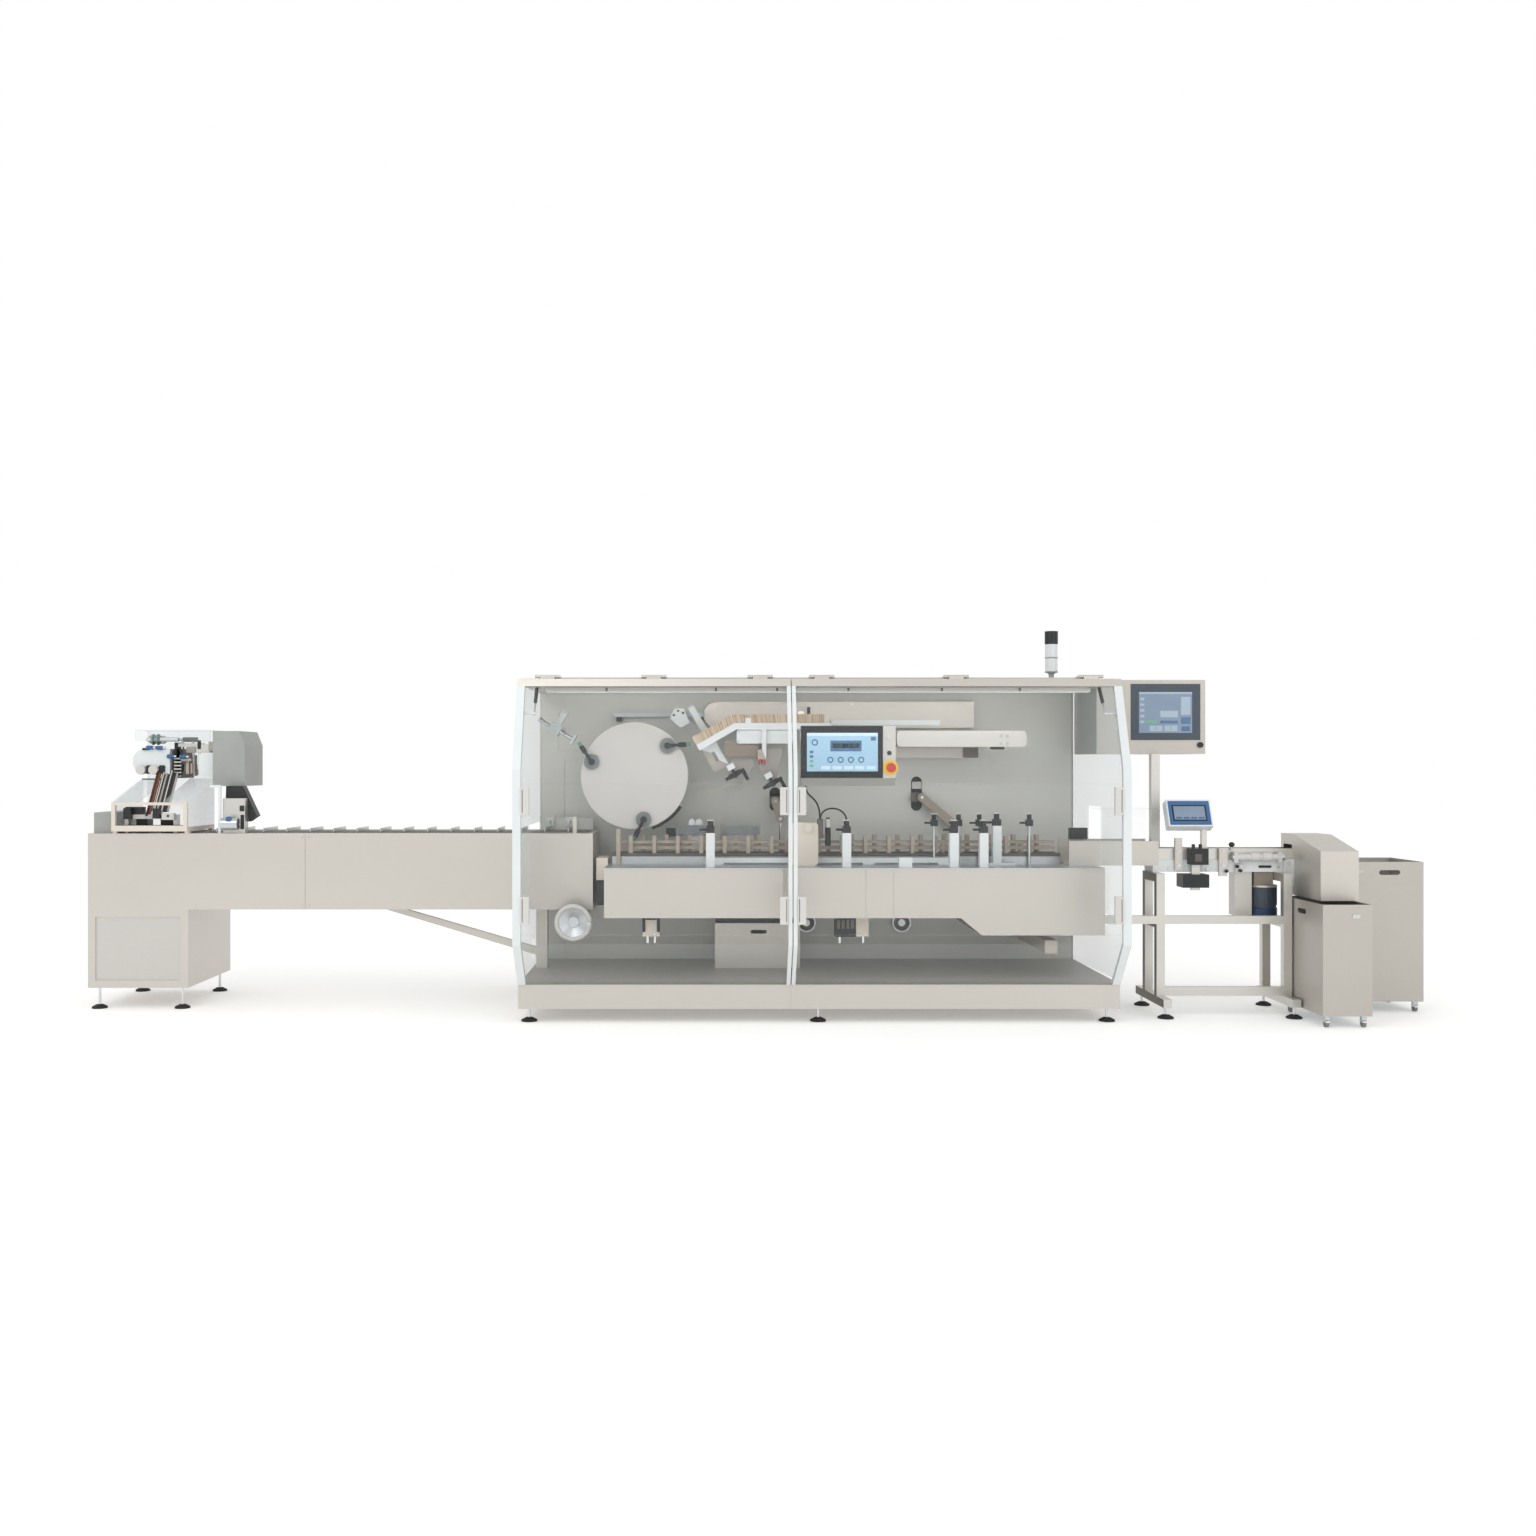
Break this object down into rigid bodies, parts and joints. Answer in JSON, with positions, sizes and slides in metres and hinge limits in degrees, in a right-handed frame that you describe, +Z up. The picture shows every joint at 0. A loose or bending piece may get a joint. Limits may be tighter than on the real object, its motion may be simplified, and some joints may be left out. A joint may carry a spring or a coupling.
{
  "type": "automatic cartoner",
  "caption": "Horizontal automatic cartoner: product infeed, guarded chamber with rotary carton feeder and lugged chain, lift-up clear doors, outfeed conveyor and reject bins",
  "frame": {"origin": "under the middle front levelling foot, on the floor", "axes": "+X along the line from infeed to outfeed, +Y to the back, +Z up"},
  "size_m": [6.983, 1.537, 1.991],
  "materials": {
    "painted_beige": "satin powder coat, warm beige grey",
    "wall_grey": "satin powder coat, grey green",
    "deck_grey": "satin powder coat, dark grey",
    "white_paint": "gloss powder coat, white",
    "clear_sheet": "clear bent sheet",
    "stainless": "brushed",
    "aluminium_profile": "anodised",
    "black_plastic": "moulded",
    "black_rubber": "moulded",
    "polished_rod": "polished",
    "kraft_board": "kraft flats",
    "screen_glass": "gloss black",
    "white_plastic": "moulded white",
    "tan_plastic": "machined plastic, tan",
    "hood_grey": "satin powder coat, mid grey"
  },
  "bodies": {
    "machine": {"base_skirt": "painted_beige", "deck_pan": "deck_grey", "back_wall": "wall_grey", "rear_housing": "painted_beige", "roof": "painted_beige", "roof_light": "aluminium_profile", "levelling_feet": "black_rubber", "left_side_panel": "clear_sheet", "right_side_panel": "clear_sheet", "roof_brackets": "stainless", "transport_housing": "painted_beige", "transport_table": "stainless", "carton_chain": "tan_plastic", "guide_rails": "tan_plastic", "adjuster_posts": "white_paint", "position_indicators": "black_plastic", "actuators": "tan_plastic", "waste_box": "painted_beige", "pre_opener": "stainless", "magazine_chute": "white_paint", "carton_stack": "kraft_board", "magazine_drive": "white_paint", "wall_covers": "painted_beige", "hmi_panel": "screen_glass", "stack_light": "white_plastic", "cables": "black_rubber", "infeed_beam": "painted_beige", "infeed_cabinet": "painted_beige", "bucket_chain": "stainless", "infeed_supports": "painted_beige", "feeder_frame": "white_paint", "feeder_guard": "clear_sheet", "feeder_head": "aluminium_profile", "feeder_hood": "hood_grey", "outfeed_trough": "painted_beige", "trough_cover": "clear_sheet", "outfeed_conveyor": "aluminium_profile", "conveyor_units": "black_plastic", "outfeed_stand": "aluminium_profile", "monitor_cabinet": "painted_beige", "reject_hood": "painted_beige", "front_bin": "painted_beige", "rear_bin": "painted_beige"},
    "left_door": {"left_door_glass": "clear_sheet", "left_door_frame": "white_paint", "left_door_handles": "white_plastic"},
    "right_door": {"right_door_glass": "clear_sheet", "right_door_frame": "white_paint", "right_door_handles": "white_plastic"},
    "left_strut_tube": {"left_strut_cylinder": "black_plastic"},
    "left_strut_piston": {"left_strut_rod": "polished_rod"},
    "right_strut_tube": {"right_strut_cylinder": "black_plastic"},
    "right_strut_piston": {"right_strut_rod": "polished_rod"},
    "rotor": {"rotor_disc": "white_plastic"},
    "arm_1": {"suction_arm_1": "black_plastic"},
    "arm_2": {"suction_arm_2": "black_plastic"},
    "arm_3": {"suction_arm_3": "black_plastic"},
    "hand_wheel": {"handwheel": "white_plastic"},
    "crank_left": {"left_crank": "black_plastic"},
    "crank_right": {"right_crank": "black_plastic"}
  },
  "joints": [
    {"name": "left_door_lift", "type": "hinge", "parent": "machine", "child": "left_door", "pos_m": [-0.8215, -0.074, 1.726], "axis": [-1, 0, 0], "range_deg": [0, 80]},
    {"name": "right_door_lift", "type": "hinge", "parent": "machine", "child": "right_door", "pos_m": [0.6815, -0.074, 1.726], "axis": [-1, 0, 0], "range_deg": [0, 80]},
    {"name": "left_strut_swing", "type": "hinge", "parent": "machine", "child": "left_strut_tube", "pos_m": [-1.412, 0.01, 1.684], "axis": [-1, 0, 0], "range_deg": [0, 59.89]},
    {"name": "left_strut_slide", "type": "slide", "parent": "left_strut_tube", "child": "left_strut_piston", "axis": [0, -0.6555, -0.7552], "range_m": [0, 0.08864]},
    {"name": "right_strut_swing", "type": "hinge", "parent": "machine", "child": "right_strut_tube", "pos_m": [1.412, 0.01, 1.684], "axis": [-1, 0, 0], "range_deg": [0, 59.89]},
    {"name": "right_strut_slide", "type": "slide", "parent": "right_strut_tube", "child": "right_strut_piston", "axis": [0, -0.6555, -0.7552], "range_m": [0, 0.08864]},
    {"name": "rotor_turn", "type": "hinge", "parent": "machine", "child": "rotor", "pos_m": [-0.951, 0.56, 1.228], "axis": [0, -1, 0], "continuous": true},
    {"name": "arm_1_turn", "type": "hinge", "parent": "rotor", "child": "arm_1", "pos_m": [-0.7719, 0.54, 1.38926], "axis": [0, -1, 0], "continuous": true},
    {"name": "arm_2_turn", "type": "hinge", "parent": "rotor", "child": "arm_2", "pos_m": [-1.1802, 0.54, 1.30247], "axis": [0, -1, 0], "continuous": true},
    {"name": "arm_3_turn", "type": "hinge", "parent": "rotor", "child": "arm_3", "pos_m": [-0.90089, 0.54, 0.99227], "axis": [0, -1, 0], "continuous": true},
    {"name": "hand_wheel_turn", "type": "hinge", "parent": "machine", "child": "hand_wheel", "pos_m": [-1.252, 0.24, 0.468], "axis": [0, -1, 0], "continuous": true},
    {"name": "crank_left_turn", "type": "hinge", "parent": "machine", "child": "crank_left", "pos_m": [-0.42534, 0.448, 1.26216], "axis": [0.5, 0, -0.866], "continuous": true},
    {"name": "crank_right_turn", "type": "hinge", "parent": "machine", "child": "crank_right", "pos_m": [-0.22534, 0.448, 1.21616], "axis": [0.5, 0, -0.866], "continuous": true}
  ],
  "couplings": [
    {"joint": "left_strut_swing", "follows": "left_door_lift", "ratio": 0.74234},
    {"joint": "left_strut_slide", "follows": "left_door_lift", "m_per_rad": 0.063127},
    {"joint": "right_strut_swing", "follows": "right_door_lift", "ratio": 0.74234},
    {"joint": "right_strut_slide", "follows": "right_door_lift", "m_per_rad": 0.063127},
    {"joint": "arm_1_turn", "follows": "rotor_turn", "ratio": -3},
    {"joint": "arm_2_turn", "follows": "rotor_turn", "ratio": -3},
    {"joint": "arm_3_turn", "follows": "rotor_turn", "ratio": -3}
  ]
}
